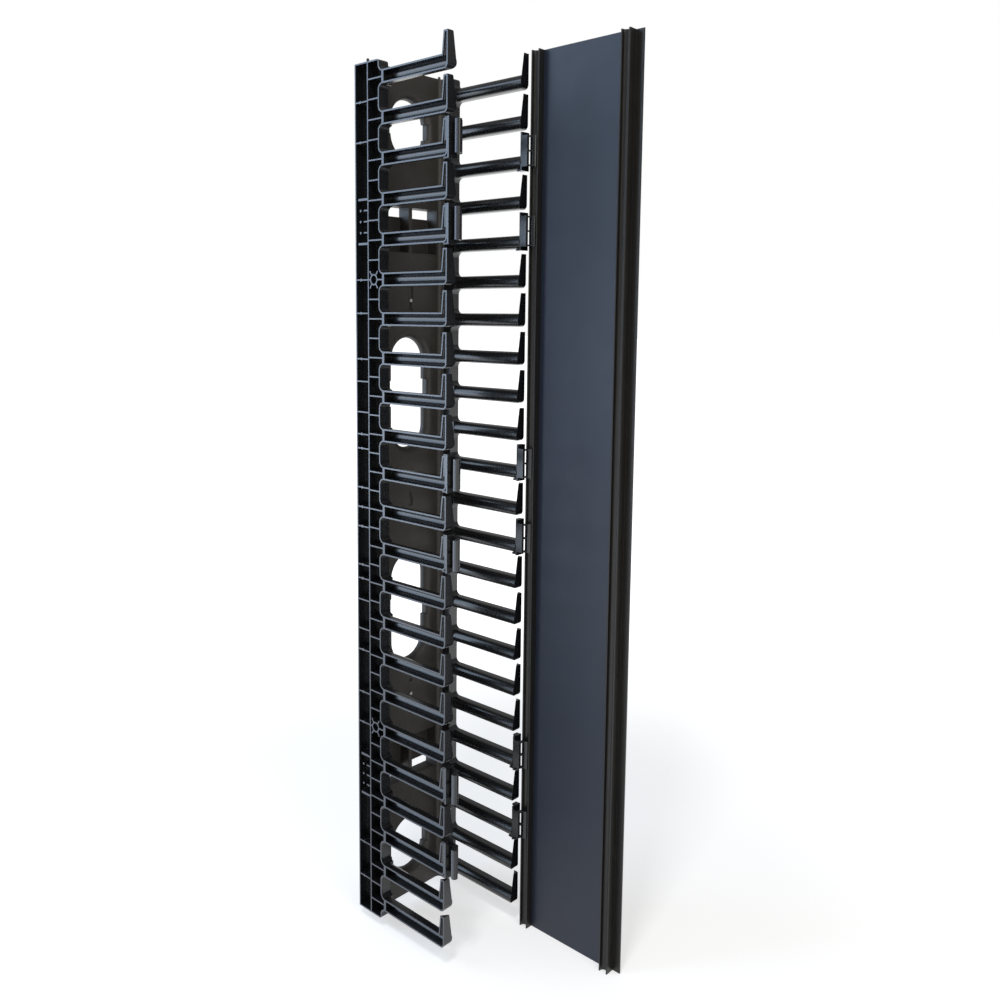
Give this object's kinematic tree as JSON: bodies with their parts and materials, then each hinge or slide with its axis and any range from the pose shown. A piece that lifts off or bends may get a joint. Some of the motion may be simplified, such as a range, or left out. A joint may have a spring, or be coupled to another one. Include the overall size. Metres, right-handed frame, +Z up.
{
  "type": "vertical cable manager",
  "caption": "Tall black rack cable manager with finger combs on both sides, a back plate with pass-throughs, and a clip-on door swung open on its right side.",
  "frame": {"origin": "middle of the rack face, halfway between the side walls and at the height of the middle fingers", "axes": "+Z up, -Y out of the open front, +Y towards the rack, +X to the hinge side"},
  "size_m": [0.1373, 0.3012, 1.0444],
  "materials": {
    "comb_plastic": "satin",
    "plate_plastic": "satin",
    "rail_plastic": "satin",
    "door_plastic": "satin",
    "zinc_steel": "zinc plated"
  },
  "bodies": {
    "frame": {"side_wall_left": "comb_plastic", "side_wall_right": "comb_plastic", "rear_flange_left": "comb_plastic", "rear_flange_right": "comb_plastic", "back_plate_left": "plate_plastic", "back_plate_right": "plate_plastic", "fingers_left_top": "comb_plastic", "fingers_left_upper": "comb_plastic", "fingers_left_lower": "comb_plastic", "fingers_left_bottom": "comb_plastic", "fingers_right_top": "comb_plastic", "fingers_right_upper": "comb_plastic", "fingers_right_lower": "comb_plastic", "fingers_right_bottom": "comb_plastic", "pass_collar_top": "plate_plastic", "pass_collar_upper": "plate_plastic", "pass_collar_lower": "plate_plastic", "pass_collar_bottom": "plate_plastic", "strap_pocket_left_upper": "plate_plastic", "strap_pocket_left_lower": "plate_plastic", "strap_pocket_right_upper": "plate_plastic", "strap_pocket_right_lower": "plate_plastic", "hinge_clip_1": "comb_plastic", "hinge_clip_2": "comb_plastic", "hinge_clip_3": "comb_plastic", "hinge_clip_4": "comb_plastic", "hinge_clip_5": "comb_plastic", "hinge_clip_6": "comb_plastic", "latch_clip_1": "comb_plastic", "latch_clip_2": "comb_plastic", "latch_clip_3": "comb_plastic", "latch_clip_4": "comb_plastic", "latch_clip_5": "comb_plastic", "latch_clip_6": "comb_plastic", "seam_screws": "zinc_steel", "seam_nuts": "zinc_steel"},
    "door": {"door_panel": "door_plastic", "door_hinge_rail": "rail_plastic", "door_latch_rail": "rail_plastic"}
  },
  "joints": [
    {"name": "door_hinge", "type": "hinge", "parent": "frame", "child": "door", "pos_m": [0.06075, -0.1642, 0], "axis": [0, 0, 1], "range_deg": [-90, 10]}
  ]
}
